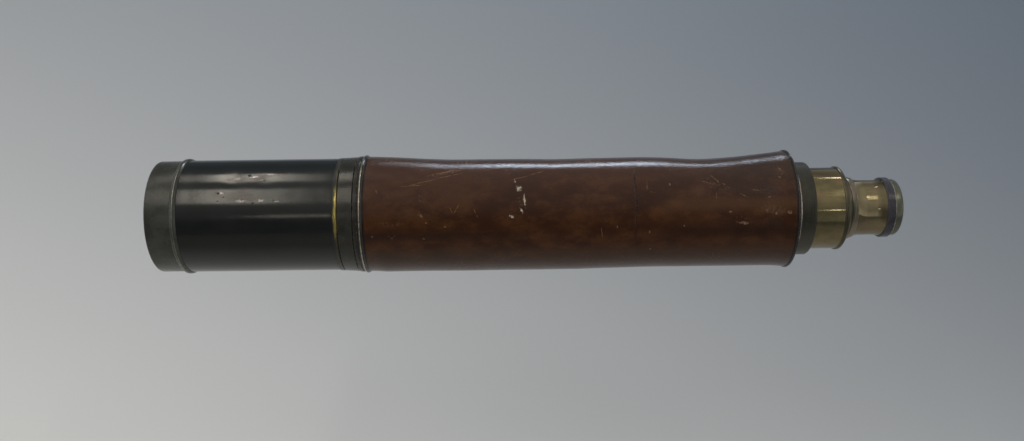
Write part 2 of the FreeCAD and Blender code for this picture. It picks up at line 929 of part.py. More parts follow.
def knob_slot(station, depth):
    """The curved slot that the knob's stem runs in: a sector of a ring about the pivot, with round ends."""
    half = dims.knob_slot_width / 2
    swing = dims.shutter_swing
    ring = doc.addObject("Part::Cut", "slot_sector")
    ring.Base = pivot_cylinder("slot_outside", dims.knob_arm + half, depth, station, swing)
    ring.Tool = pivot_cylinder("slot_inside", dims.knob_arm - half, depth, station, swing)
    ends = []
    for name, turn in (("slot_closed_end", "0"), ("slot_open_end", "Dims.shutter_swing")):
        end = pivot_cylinder(name, half, depth, station)
        drop = f"Dims.knob_arm * cos(({turn}) * 1deg)"
        end.setExpression("Placement.Base.y", f"Dims.knob_arm * sin(({turn}) * 1deg)")
        end.setExpression("Placement.Base.z", f"Dims.rest_radius + Dims.pivot_offset - {drop}")
        ends.append(end)
    return [ring, *ends]


def eye_cap():
    """Rounded end of the eyepiece: a dished face with the eye hole, hollowed behind for the shutter."""
    recess = dims.cap_ring_end + dims.shutter_recess_depth
    dish = recess + dims.dish_bottom_thickness
    end = dims.overall_length
    blank = turned(
        "eye_cap_blank",
        [
            (dims.cap_ring_end, dims.shutter_recess_radius),
            (recess, dims.shutter_recess_radius),
            (recess, dims.eye_hole_radius),
            (dish, dims.eye_hole_radius),
            (dish, dims.dish_bottom_radius),
            (end, dims.dish_rim_radius),
            (end, dims.eye_cap_radius - dims.eye_cap_rounding),
            Arc(dims.eye_cap_rounding, 1),
            (end - dims.eye_cap_rounding, dims.eye_cap_radius),
            (dims.cap_ring_end, dims.eye_cap_radius),
        ],
    )
    hole = pivot_cylinder("pivot_hole", dims.pivot_radius, dims.dish_bottom_thickness, recess)
    tools = doc.addObject("Part::MultiFuse", "eye_cap_tools")
    tools.Shapes = [*knob_slot(recess, dims.dish_bottom_thickness), hole]
    cap = doc.addObject("Part::Cut", "eye_cap")
    cap.Label = "eye_cap"
    cap.Base = blank
    cap.Tool = tools


def shutter_sketch(body, name, station):
    """Sketch in the shutter's own plane with its origin on the pivot; the arm hangs down when closed."""
    return new_sketch(body, name, "YZ_Plane", station, dims.pivot_offset, dims.shutter_swing)


def shutter():
    """Pivoted plate that covers the eye hole, shown swung open, and the knob that moves it."""
    front = dims.cap_ring_end + dims.assembly_gap
    rear = front + dims.shutter_thickness
    body = new_body("eye_shutter")
    disc = shutter_sketch(body, "shutter_disc", front)
    draw_circle(disc, dims.shutter_radius, 0, -dims.pivot_offset)
    padded_up(body, disc, dims.shutter_thickness)
    half = dims.shutter_arm_width / 2
    arm = shutter_sketch(body, "shutter_arm", front)
    tip = -dims.knob_arm
    draw_outline(arm, [(-half, 0), (-half, tip), (half, tip), (half, 0)])
    padded_up(body, arm, dims.shutter_thickness)
    for name, middle in (("pivot_lobe", 0), ("knob_lobe", tip)):
        lobe = shutter_sketch(body, name, front)
        draw_circle(lobe, half, 0, middle)
        padded_up(body, lobe, dims.shutter_thickness)
    for name, radius, middle in (
        ("pivot_bore", dims.pivot_hole_radius, 0),
        ("knob_bore", dims.knob_stem_radius, tip),
    ):
        bore = shutter_sketch(body, name, rear)
        draw_circle(bore, radius, 0, middle)
        cut_back(body, bore, dims.shutter_thickness)

    dish = dims.cap_ring_end + dims.shutter_recess_depth + dims.dish_bottom_thickness
    knob_front = dish + dims.knob_lift
    knob = new_body("shutter_knob")
    stem = shutter_sketch(knob, "knob_stem", front)
    draw_circle(stem, dims.knob_stem_radius, 0, tip)
    padded_up(knob, stem, knob_front - front)
    head = shutter_sketch(knob, "knob_head", knob_front)
    draw_circle(head, dims.knob_radius, 0, tip)
    pad = padded_up(knob, head, dims.knob_height)
    doc.recompute()
    rounding = knob.newObject("PartDesign::Fillet", "knob_rounding")
    rounding.Base = (pad, [f"Edge{far_edge(pad.Shape)}"])
    rounding.setExpression("Radius", "Dims.knob_rounding")
    knob.Tip = rounding


def far_edge(shape):
    """Number of the circular edge nearest the eye."""
    return 1 + max(range(len(shape.Edges)), key=lambda i: shape.Edges[i].CenterOfMass.x)


def shutter_pivot():
    """Slotted screw that the shutter turns on, and the bowed washer that makes it stay put."""
    dish = dims.cap_ring_end + dims.shutter_recess_depth + dims.dish_bottom_thickness
    screw = new_body("shutter_pivot_screw")
    shank = shutter_sketch(screw, "screw_shank", dims.cap_ring_end)
    draw_circle(shank, dims.pivot_radius)
    padded_up(screw, shank, dish - dims.cap_ring_end)
    head = shutter_sketch(screw, "screw_head", dish)
    draw_circle(head, dims.pivot_head_radius)
    padded_up(screw, head, dims.pivot_head_height)
    slot = shutter_sketch(screw, "screw_slot", dish + dims.pivot_head_height)
    draw_bar(slot, dims.pivot_head_radius + dims.cut_margin, dims.screw_slot_width / 2)
    cut_back(screw, slot, dims.screw_slot_depth)

    washer = new_body("shutter_washer")
    ring = shutter_sketch(washer, "washer_ring", dims.cap_ring_end)
    draw_circle(ring, dims.washer_radius)
    draw_circle(ring, dims.pivot_hole_radius)
    padded_up(washer, ring, dims.washer_thickness)


SUB_PARTS = (
    "objective_cell",
    "objective_crown",
    "objective_flint",
    "objective_spacers",
    "objective_retaining_ring",
    "objective_tube",
    "objective_baffle",
    "sunshade_front_ring",
    "sunshade_tube",
    "sunshade_guide_ring",
    "front_collar",
    "leather_front_ring",
    "main_tube",
    "leather_cover",
    "barrel_baffle",
    "rear_end_ring",
    "draw_bush",
    "draw_guide_sleeve",
    "draw_tube",
    "draw_stop_ring",
    "draw_end_ring",
    "eyepiece_mount",
    "eyepiece_barrel",
    "erector_tube",
    "erector_front_lens_cell",
    "erector_front_lens",
    "erector_stop",
    "erector_rear_lens_cell",
    "erector_rear_lens",
    "field_lens_cell",
    "field_lens",
    "field_stop",
    "eye_lens_cell",
    "eye_lens",
    "eye_lens_retainer",
    "eye_cap_ring",
    "eye_cap",
    "eye_shutter",
    "shutter_knob",
    "shutter_pivot_screw",
    "shutter_washer",
)


def check_and_export():
    """Writes each sub-part's STEP file once nothing in the document has failed."""
    doc.recompute()
    failed = [o.Label for o in doc.Objects if {"Invalid", "Error"} & set(o.State)]
    if failed:
        raise RuntimeError(f"these objects failed: {failed}")
    shapes = {}
    for label in SUB_PARTS:
        shape = doc.getObjectsByLabel(label)[0].Shape
        if shape.isNull() or not shape.isValid() or not shape.Solids:
            raise RuntimeError(f"{label} has no valid solid")
        shapes[label] = shape
    os.makedirs("parts", exist_ok=True)
    for label, shape in shapes.items():
        shape.exportStep(os.path.join("parts", f"{label}.step"))


dims = Sheet()
objective_cell()
objective_lenses()
objective_spacers()
objective_retainer()
sunshade()
front_collar()
leather_front_ring()
barrel()
rear_end_ring()
draw_bush()
draw_guide_sleeve()
draw()
eyepiece()
erector()
eye_lens()
eye_cap_ring()
eye_cap()
shutter()
shutter_pivot()
check_and_export()
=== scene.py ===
"""A single-draw brass telescope, its barrel covered in leather, lying over a pale table.

Sections follow the telescope as it is put together, from the room round it to the eyepiece shutter.
Everything is in metres in the telescope's own frame: X along the tubes towards the eye, Z up. A place on a
tube is also given as its station, in mm behind the front edge, and its turn, in degrees from the top
towards the near side.
"""

import math

import bmesh
import bpy
from mathutils import Matrix, Vector, noise


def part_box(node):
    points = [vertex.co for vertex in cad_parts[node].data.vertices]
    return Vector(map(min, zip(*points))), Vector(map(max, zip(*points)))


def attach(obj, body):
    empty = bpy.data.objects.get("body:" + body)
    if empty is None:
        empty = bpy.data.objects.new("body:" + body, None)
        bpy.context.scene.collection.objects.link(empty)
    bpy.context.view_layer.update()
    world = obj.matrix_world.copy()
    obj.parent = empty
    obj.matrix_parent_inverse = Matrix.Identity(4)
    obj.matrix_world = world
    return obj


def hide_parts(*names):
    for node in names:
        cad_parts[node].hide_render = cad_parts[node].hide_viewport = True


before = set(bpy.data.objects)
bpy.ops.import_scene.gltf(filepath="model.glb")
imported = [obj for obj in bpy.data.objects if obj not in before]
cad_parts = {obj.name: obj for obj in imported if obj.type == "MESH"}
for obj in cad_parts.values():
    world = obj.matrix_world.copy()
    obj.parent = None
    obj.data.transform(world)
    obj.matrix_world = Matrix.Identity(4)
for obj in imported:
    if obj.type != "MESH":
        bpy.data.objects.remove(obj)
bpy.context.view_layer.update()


# ---- The table, the room and the camera -----------------------------------------------------------
# The telescope lies as if on clear glass, 20 cm over a pale table top with painted light on it: a painted
# falloff from warm grey to blue grey, and painted shade on the near side.
# The room has white walls, a long window on the far side, and skylights and lamps towards both ends.

axis_height = (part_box("main_tube")[0].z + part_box("main_tube")[1].z) / 2
axis_middle = Vector((0.0, 0.0, axis_height))


class Shade:
    """A shader socket that sums can be written with: each sum adds a Math node to the same material."""

    def __init__(self, socket):
        self.socket = socket

    def node(self, kind, settings=None, sockets=None, out=0):
        """Adds a node of that kind: its settings first, then the values or links of its sockets."""
        tree = self.socket.id_data
        made = tree.nodes.new("ShaderNode" + kind)
        for name, value in (settings or {}).items():
            setattr(made, name, value)
        for name, value in (sockets or {}).items():
            if isinstance(value, Shade):
                tree.links.new(value.socket, made.inputs[name])
            elif isinstance(value, tuple) and made.inputs[name].type == "RGBA":
                made.inputs[name].default_value = (*value, 1.0)
            else:
                made.inputs[name].default_value = value
        return Shade(made.outputs[out])

    def part(self, axis):
        """One of the three numbers of a place or a direction: 0 is X, 1 is Y and 2 is Z."""
        return self.node("SeparateXYZ", None, {0: self}, out=axis)

    def sum(self, operation, *values):
        """A Math node's operation on those values, which are sockets or numbers."""
        return self.node("Math", {"operation": operation}, dict(enumerate(values)))

    def __add__(self, other):
        return self.sum("ADD", self, other)

    __radd__ = __add__

    def __sub__(self, other):
        return self.sum("SUBTRACT", self, other)

    def __rsub__(self, other):
        return self.sum("SUBTRACT", other, self)

    def __mul__(self, other):
        return self.sum("MULTIPLY", self, other)

    __rmul__ = __mul__

    def __truediv__(self, other):
        return self.sum("DIVIDE", self, other)

    def __rtruediv__(self, other):
        return self.sum("DIVIDE", other, self)

    def __abs__(self):
        return self.sum("ABSOLUTE", self)

    def __or__(self, other):
        """The larger of the two, as a union of two masks."""
        return self.sum("MAXIMUM", self, other)

    def rise(self, low, high):
        """0 below low, 1 above high and smooth between, or falling where low is above high."""
        ends = {"Value": self, "From Min": low, "From Max": high}
        return self.node("MapRange", {"interpolation_type": "SMOOTHSTEP"}, ends)

    def near(self, value, reach):
        """1 at that value, falling to 0 at that reach from it."""
        return abs(self - value).rise(reach, 0.0)

    def between(self, low_colour, high_colour):
        """Colour that goes from one to the other as this mask goes from 0 to 1."""
        sides = {0: self, 6: low_colour, 7: high_colour}
        return self.node("Mix", {"data_type": "RGBA"}, sides, out=2)

    def scaled(self, along, across):
        """These coordinates as a pattern's own: along the tubes and across them, in patterns a metre."""
        return self.node("VectorMath", {"operation": "MULTIPLY"}, {0: self, 1: (along, across, across)})

    def clouds(self, scale, detail=4.0, roughness=0.55, distortion=0.0):
        """Noise from 0 to 1 with cells about 1 / scale metres across."""
        sockets = {"Vector": self, "Scale": scale, "Detail": detail, "Roughness": roughness}
        return self.node("TexNoise", None, {**sockets, "Distortion": distortion})


def start_finish(name):
    """A new material, its shader, and the place of each point of a surface."""
    finish = bpy.data.materials.new(name)
    finish.use_nodes = True
    tree = finish.node_tree
    spot = Shade(tree.nodes.new("ShaderNodeTexCoord").outputs["Object"])
    return finish, tree.nodes["Principled BSDF"], spot


def feed(shader, values):
    """Sets the shader's sockets, and links those whose value changes over the surface."""
    for name, value in values.items():
        socket = shader.inputs[name]
        if isinstance(value, Shade):
            socket.id_data.links.new(value.socket, socket)
        elif isinstance(value, tuple):
            socket.default_value = (*value, 1.0)
        else:
            socket.default_value = value


def paint_with_painted_light():
    """Paint with painted light: a painted falloff whose shades fan out from a place in front of the near
    left, darkest at the far right, and painted shade on the near side.
    """
    finish, shader, spot = start_finish("pale_paint_painted_light")
    across = spot.part(0)
    away = spot.part(1)
    aside = across.sum("MINIMUM", across, 0.65)
    # Painted falloff of light across the table top, brightest at the near left.
    painted_falloff = ((aside * 0.275 - 0.265) / ((away + 0.41) | 0.4) + 0.935).rise(0.0, 1.03)
    colour = painted_falloff.between((0.86, 0.84, 0.80), (0.128, 0.160, 0.202))
    # Painted shade on the near side of the table top, in front of the telescope.
    painted_near_shade = away.rise(-0.04, -0.55) * (across + away * 0.3).rise(0.26, 0.06) * 0.6
    feed(shader, {
        "Base Color": painted_near_shade.between(colour, (0.12, 0.12, 0.125)),
        "Roughness": 0.85,
        "Specular IOR Level": 0.2,
    })
    return finish


def lay_table(below, half):
    """Square table top of that half width, that far below the bottom of the telescope."""
    mesh = bpy.data.meshes.new("table_top")
    corners = [(-half, -half, -below), (half, -half, -below), (half, half, -below), (-half, half, -below)]
    mesh.from_pydata(corners, [], [(0, 1, 2, 3)])
    table = bpy.data.objects.new("table_top", mesh)
    bpy.context.scene.collection.objects.link(table)
    mesh.materials.append(paint_with_painted_light())


def light_room():
    """Dim walls with a paler ceiling, windows behind the objective end and a wall lit beside the eye."""
    room = bpy.data.worlds.new("room")
    bpy.context.scene.world = room
    room.use_nodes = True
    tree = room.node_tree
    direction = Shade(tree.nodes.new("ShaderNodeTexCoord").outputs["Generated"])
    sideways = direction.part(0)
    height = direction.part(2)
    ceiling = height.rise(0.35, 0.97)
    left_windows = sideways.rise(-0.42, -0.75) * height.rise(-0.05, 0.2)
    right_wall = sideways.rise(0.20, 0.48) * (1.0 + 0.8 * height.rise(0.5, 0.1))
    feed(tree.nodes["Background"], {
        "Color": ceiling.between((0.93, 0.97, 1.0), (0.98, 0.99, 1.0)),
        "Strength": 0.13 + 0.30 * ceiling + 0.75 * left_windows + 0.28 * right_wall,
    })


def skylight(name, over, width, radiance, colour):
    """Panel of light two metres off: over is its span round the telescope, from the near side up and
    over to the far side, in degrees, and width its span along X, in metres."""
    reach = 2.0
    turn = math.radians(sum(over) / 2)
    lamp = bpy.data.lights.new(name, "AREA")
    lamp.shape = "RECTANGLE"
    lamp.size = width[1] - width[0]
    lamp.size_y = 2 * reach * math.tan(math.radians(over[1] - over[0]) / 2)
    lamp.energy = radiance * math.pi * lamp.size * lamp.size_y
    lamp.color = colour
    panel = bpy.data.objects.new(name, lamp)
    aside = Vector((sum(width) / 2, -reach * math.cos(turn), reach * math.sin(turn)))
    panel.location = axis_middle + aside
    panel.rotation_mode = "QUATERNION"
    panel.rotation_quaternion = Vector((0, -aside.y, -aside.z)).to_track_quat("-Z", "Y")
    bpy.context.scene.collection.objects.link(panel)


def stand_camera(elevation, distance, lens, aside, below, roll):
    """Camera on the near side, looking along +Y and down at the telescope."""
    tilt = math.radians(elevation)
    back = Vector((0, -math.cos(tilt), math.sin(tilt)))
    up = Vector((0, math.sin(tilt), math.cos(tilt)))
    data = bpy.data.cameras.new("camera")
    data.lens = lens
    data.sensor_width = 36.0
    camera = bpy.data.objects.new("camera", data)
    look = back.to_track_quat("Z", "Y").to_matrix()
    spin = Matrix.Rotation(math.radians(roll), 3, "Z")
    place = axis_middle + back * distance - up * below + Vector((aside, 0, 0))
    camera.matrix_world = Matrix.Translation(place) @ (look @ spin).to_4x4()
    bpy.context.scene.collection.objects.link(camera)
    bpy.context.scene.camera = camera


lay_table(below=0.20, half=40.0)
light_room()
stand_camera(elevation=39.0, distance=0.527, lens=33.4, aside=-0.0093, below=0.0047, roll=-0.75)
BLUE = (0.74, 0.85, 1.0)
COOL = (0.92, 0.96, 1.0)
WARM = (1.0, 0.94, 0.86)
skylight("far_window", (157.5, 162), (-0.15, 0.49), 21.0, BLUE)
skylight("left_skylight_far", (111, 130), (-0.785, -0.60), 6.3, WARM)
skylight("left_skylight_near", (63, 93), (-0.83, -0.64), 5.0, WARM)
skylight("left_lamp_low", (34.5, 38), (-0.64, -0.50), 3.9, WARM)
skylight("right_lamp_far", (131, 133), (0.82, 0.87), 18.0, COOL)
skylight("right_lamp_low", (31.5, 33), (0.83, 0.88), 8.5, COOL)
skylight("right_skylight", (72, 88), (0.945, 0.965), 26.0, WARM)
bpy.context.scene.view_settings.view_transform = "Standard"


# ---- Objective: cell, two glasses, foil slips and the ring that holds them ------------------------
# A turned brass cell with a crown and a flint glass, kept apart by three slips of tin foil and held by
# a slotted ring screwed in behind them. The cell is chemically blackened, and bare where it is handled.

MM = 0.001
front_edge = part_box("sunshade_front_ring")[0].x


def give(finish, *names):
    """Puts the finish on those CAD nodes."""
    for name in names:
        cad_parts[name].material_slots[0].material = finish


def station_of(spot):
    """Station of each point of a surface."""
    return (spot.part(0) - front_edge) / MM


def turn_of(spot):
    """Turn of each point of a surface."""
    depth = spot.part(1)
    return depth.sum("ARCTAN2", 0 - depth, spot.part(2) - axis_height) * (180 / math.pi)


def rubbed_through(spot, rings):
    """1 where a film has worn off: rings are (station, reach, strength) of the edges that get rubbed."""
    station = station_of(spot)
    worn = sum(station.near(place, reach) * strength for place, reach, strength in rings)
    broken = (spot.clouds(420, 5, 0.65) - 0.5) * 1.3
    return (worn + broken).rise(0.42, 0.62)


def times(colour, share):
    """That colour with each of its parts multiplied by the share."""
    return tuple(share * part for part in colour)


def blackened_brass(name, film, rubbed, rings, gloss=0.2):
    """Brass blackened and lacquered, with the metal showing along rings that get rubbed."""
    finish, shader, spot = start_finish(name)
    cloudy = spot.clouds(90, 5, 0.6)
    fine = spot.clouds(900, 3, 0.6)
    worn = rubbed_through(spot, rings)
    lighter = tuple(1.9 * part + 0.006 for part in film)
    ground = (cloudy * 0.75 + fine * 0.25).rise(0.35, 0.7).between(film, lighter)
    dust = (spot.clouds(1500, 2, 0.5) * spot.clouds(160, 3)).rise(0.36, 0.46)
    ground = (dust * 0.6).between(ground, (0.10, 0.10, 0.085))
    metal = fine.rise(0.3, 0.7).between(rubbed, times(rubbed, 0.45))
    lathe = spot.scaled(5200, 60).clouds(1.0, 2, 0.5)
    height = fine * 0.5 + lathe * 0.5 - worn * 0.8
    relief = spot.node("Bump", None, {"Height": height, "Distance": 0.00003, "Strength": 0.6})
    feed(shader, {
        "Base Color": worn.between(ground, metal),
        "Metallic": worn * 0.8 + 0.15,
        "Roughness": gloss + cloudy.rise(0.35, 0.75) * 0.14 + worn * 0.1,
        "Specular Tint": (1.0, 0.97, 0.90),
        "Normal": relief,
    })
    return finish


def ground_glass(name, tint, edge):
    """Polished glass, with its rim ground and blackened from that distance off the axis, in mm."""
    finish, shader, spot = start_finish(name)
    depth = spot.part(1)
    above = spot.part(2) - axis_height
    off_axis = depth.sum("SQRT", depth * depth + above * above) / MM
    rim = off_axis.rise(edge, edge + 0.15)
    dust = (spot.clouds(2600, 2, 0.5) * spot.clouds(140, 3)).rise(0.40, 0.5)
    feed(shader, {
        "Base Color": rim.between(tint, (0.02, 0.02, 0.02)),
        "Roughness": rim * 0.5 + dust * 0.25 + 0.02,
        "Transmission Weight": 1.0,
        "IOR": 1.52,
        "Coat Weight": 0.4,
        "Coat Roughness": 0.02,
    })
    return finish


def bright_metal(name, light, dark, gloss, spots):
    """Plain metal with a dull film in clouds and fine spots."""
    finish, shader, spot = start_finish(name)
    cloudy = spot.clouds(120, 5, 0.6)
    fine = spot.clouds(1300, 3, 0.55)
    specks = fine.rise(0.62, 0.72) * spots
    colour = cloudy.rise(0.35, 0.7).between(light, dark)
    lathe = spot.scaled(6000, 80).clouds(1.0, 2, 0.5)
    relief = spot.node("Bump", None, {"Height": lathe, "Distance": 0.00002, "Strength": 0.5})
    feed(shader, {
        "Base Color": specks.between(colour, times(dark, 0.3)),
        "Metallic": 1.0,
        "Roughness": gloss + cloudy * 0.12 + specks * 0.2,
        "Normal": relief,
    })
    return finish


cell_black = blackened_brass(
    "blackened_cell", (0.012, 0.013, 0.013), (0.30, 0.24, 0.13),
    [(6.0, 0.9, 0.7), (21.5, 0.6, 0.5)], 0.25,
)
give(cell_black, "objective_cell", "objective_retaining_ring")
give(ground_glass("crown_glass", (0.96, 0.99, 0.98), 26.3), "objective_crown")
give(ground_glass("flint_glass", (0.97, 0.98, 0.95), 26.3), "objective_flint")
give(bright_metal("tin_foil", (0.62, 0.62, 0.62), (0.42, 0.42, 0.43), 0.3, 0.4), "objective_spacers")


# ---- Objective tube and its stop -------------------------------------------------------------------
# A drawn brass tube that carries the cell and slides in the sunshade, polished outside and rubbed along
# its length by the shade's ring. The stop is pressed from sheet brass and painted matt black.


def sliding_brass(name, fresh, tarnish, gloss=0.16):
    """Drawn brass that slides in a ring: long fine scratches, and a film that the ring wears thin."""
    finish, shader, spot = start_finish(name)
    blotches = spot.clouds(70, 5, 0.6)
    fine = spot.clouds(1100, 4, 0.6)
    drawn = spot.scaled(14, 2600).clouds(1.0, 3, 0.6)
    film = (blotches + drawn * 0.35).rise(0.5, 0.85)
    specks = fine.rise(0.66, 0.74)
    colour = film.between(fresh, tarnish)
    height = drawn * 0.6 + fine * 0.4
    relief = spot.node("Bump", None, {"Height": height, "Distance": 0.00002, "Strength": 0.6})
    feed(shader, {
        "Base Color": (specks * 0.7).between(colour, times(tarnish, 0.35)),
        "Metallic": 1.0,
        "Roughness": gloss + film * 0.14 + specks * 0.2,
        "Normal": relief,
    })
    return finish


def matt_black(name):
    """Flat black paint inside the tubes, thin on edges and a little dusty."""
    finish, shader, spot = start_finish(name)
    grain = spot.clouds(2200, 4, 0.6)
    patches = spot.clouds(110, 4, 0.6)
    dusty = (patches * 0.7 + grain * 0.3).rise(0.48, 0.68)
    thin = (spot.clouds(500, 5, 0.7) + patches * 0.4).rise(0.92, 1.0)
    black = dusty.between((0.012, 0.012, 0.012), (0.035, 0.034, 0.031))
    relief = spot.node("Bump", None, {"Height": grain, "Distance": 0.00006, "Strength": 0.7})
    feed(shader, {
        "Base Color": thin.between(black, (0.13, 0.10, 0.05)),
        "Roughness": 0.75 - thin * 0.3,
        "Metallic": thin * 0.8,
        "Normal": relief,
    })
    return finish


objective_brass = sliding_brass("sliding_tube_brass", (0.50, 0.40, 0.19), (0.24, 0.19, 0.10))
tube_black = matt_black("matt_black_paint")
give(objective_brass, "objective_tube")
give(tube_black, "objective_baffle")


# ---- Collar and front ring of the barrel -----------------------------------------------------------
# The collar joins the objective tube to the barrel, and the ring behind it ends the leather: a band, a
# groove and a bead. Both are turned brass, blackened, with the bead's crown rubbed bright.

collar_black = blackened_brass(
    "blackened_collar", (0.020, 0.019, 0.015), (0.42, 0.34, 0.22),
    [(101.4, 0.4, 0.6), (109.2, 0.35, 0.55)], 0.2,
)
give(collar_black, "front_collar")
bead_black = blackened_brass(
    "blackened_front_ring", (0.018, 0.016, 0.013), (0.62, 0.54, 0.40),
    [(109.7, 0.3, 0.4), (111.5, 0.25, 0.5), (113.1, 0.5, 0.9)], 0.18,
)
give(bead_black, "leather_front_ring")


# ---- Barrel: the main tube and its stop ------------------------------------------------------------
# A long drawn brass tube, matt black inside and hidden by the leather outside. A knock has pushed it in
# along the top of the far side, deepest two thirds of the way back, and the section bulges opposite.

tube_front = (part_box("main_tube")[0].x - front_edge) / MM
tube_rear = (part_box("main_tube")[1].x - front_edge) / MM
tube_radius = (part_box("main_tube")[1].z - axis_height) / MM
leather_radius = (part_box("leather_cover")[1].z - axis_height) / MM
DENT_TURN = -39.0
DENT_DEPTH = 1.9
BULGE_HEIGHT = 0.75


def ease(value, low, high):
    """0 below low, 1 above high and smooth between."""
    share = min(1.0, max(0.0, (value - low) / (high - low)))
    return share * share * (3 - 2 * share)


def bell(offset, reach):
    """1 at no offset, falling away smoothly on both sides over about that reach."""
    return math.exp(-((offset / reach) ** 2))


def turn_between(turn, middle):
    """Degrees from that turn to the middle one, by the shorter way round."""
    return (turn - middle + 180) % 360 - 180


def bow(offset, half):
    """1 at no offset, falling in a wave to 0 at half and beyond."""
    return 0.5 + 0.5 * math.cos(math.pi * min(1.0, abs(offset) / half))


def knock(station, turn):
    """How far the barrel is pushed in there, in mm; less than nothing where it bulges."""
    off = turn_between(turn, DENT_TURN)
    sag = DENT_DEPTH * ease(station, 120, 166) * (1 - ease(station, 314, 343)) * bow(off, 80)
    sag += 0.35 * bell(station - 218, 14) * bow(off, 50)
    sag += 1.5 * bell(station - 297, 17) * bow(off, 55)
    opposite = turn_between(off, 180)
    bulge = BULGE_HEIGHT * ease(station, 116, 126) * (1 - ease(station, 215, 275)) * bow(opposite, 95)
    angle = math.radians(turn)
    ripple = noise.noise(Vector((station / 26, math.cos(angle) * 1.3, math.sin(angle) * 1.3)))
    held = ease(station, 115, 130) * (1 - ease(station, 320, 342))
    return sag - bulge - 0.13 * ripple * held


def tube_point(station, turn, radius):
    """The place at that station and turn, that far off the axis in mm."""
    angle = math.radians(turn)
    across = Vector((0, -math.sin(angle), math.cos(angle))) * radius * MM
    return Vector((front_edge + station * MM, 0, axis_height)) + across


def make_piece(name, mesh):
    """The piece of that name that this mesh makes, with its faces turned outwards."""
    bmesh.ops.recalc_face_normals(mesh, faces=mesh.faces)
    data = bpy.data.meshes.new(name)
    mesh.to_mesh(data)
    mesh.free()
    piece = bpy.data.objects.new(name, data)
    bpy.context.scene.collection.objects.link(piece)
    return piece


def thin_tube(name, outside, inside, stations, around):
    """Closed thin tube: outside and inside give its radii at a station and turn, in mm."""
    mesh = bmesh.new()
    walls = [(station, outside) for station in stations]
    walls += [(station, inside) for station in reversed(stations)]
    rings = []
    for station, radius in walls:
        turns = [360 * i / around - 180 for i in range(around)]
        rings.append([mesh.verts.new(tube_point(station, turn, radius(station, turn))) for turn in turns])
    for ring, following in zip(rings, rings[1:] + rings[:1]):
        for i in range(around):
            face = mesh.faces.new((ring[i - 1], ring[i], following[i], following[i - 1]))
            face.smooth = True
    count = len(stations)
    for ring in (rings[0], rings[count - 1], rings[count], rings[-1]):
        for i in range(around):
            mesh.edges.get((ring[i - 1], ring[i])).smooth = False
    return make_piece(name, mesh)


def steps(start, end, step):
    """Stations from start to end, about that step apart."""
    count = round((end - start) / step)
    return [start + (end - start) * i / count for i in range(count + 1)]


def tube_knock(station, turn):
    """The brass is whole again over the rear ring's skirt, where only the leather is pressed thin."""
    return knock(station, turn) * (1 - ease(station, 318, 332))


TUBE_WALL = 0.8
LEATHER_GAP = 0.02
main_tube = thin_tube(
    "dented_main_tube",
    lambda station, turn: tube_radius - max(0.0, tube_knock(station, turn)),
    lambda station, turn: tube_radius - TUBE_WALL - max(0.0, tube_knock(station, turn)),
    steps(tube_front, tube_rear, 2.5),
    144,
)
main_tube.data.materials.append(tube_black)
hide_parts("main_tube")
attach(main_tube, "barrel")
give(tube_black, "barrel_baffle")


# ---- Leather cover -----------------------------------------------------------------------------------
# Thin red-brown calf, glued round the barrel and sewn edge to edge along the underside. It is polished
# by hands, scratched, chipped down to pale hide, and creased across where the dent bends it.


def leather_outside(station, turn):
    """Radius of the leather, with its turned-up ends, the seam's groove and the crease, in mm."""
    flare = 0.5 * bell(station - tube_rear, 5) + 0.35 * bell(station - tube_front, 9)
    seam = turn_between(turn, 180)
    groove = 0.28 * bell(seam, 0.7) - 0.12 * bell(abs(seam) - 2.4, 1.2)
    crease = 0.12 * bell(station - 258.8, 0.9) * bow(turn_between(turn, 42), 48)
    fine = noise.noise(Vector((station / 7, turn / 16, 3.0))) * 0.025
    return leather_radius + flare - knock(station, turn) - groove - crease + fine


def leather_inside(station, turn):
    """Radius of the leather's flesh side, which lies on the brass but for the glue, in mm."""
    return tube_radius + LEATHER_GAP - max(0.0, tube_knock(station, turn))


def marks(unrolled, list_of_marks, radius, soft=0.55):
    """1 on any of the marks: each is (station, turn, length, width, slant), in mm and degrees."""
    union = None
    for station, turn, length, width, slant in list_of_marks:
        shape = unrolled.node("Mapping", {"vector_type": "TEXTURE"}, {
            "Vector": unrolled,
            "Location": (station, math.radians(turn) * radius, 0),
            "Rotation": (0, 0, math.radians(slant)),
            "Scale": (length / 2, width / 2, 1000),
        })
        inside = shape.node("VectorMath", {"operation": "LENGTH"}, {0: shape}, out=1).rise(1.0, soft)
        union = inside if union is None else union | inside
    return union


def unroll(spot, station, turn, radius, ragged):
    """The surface laid flat in mm, with its places shifted raggedly by up to that many mm."""
    shift = (spot.clouds(900, 3) - 0.5) * (2 * ragged)
    around = turn * (math.pi / 180 * radius)
    return spot.node("CombineXYZ", None, {0: station + shift, 1: around - shift})


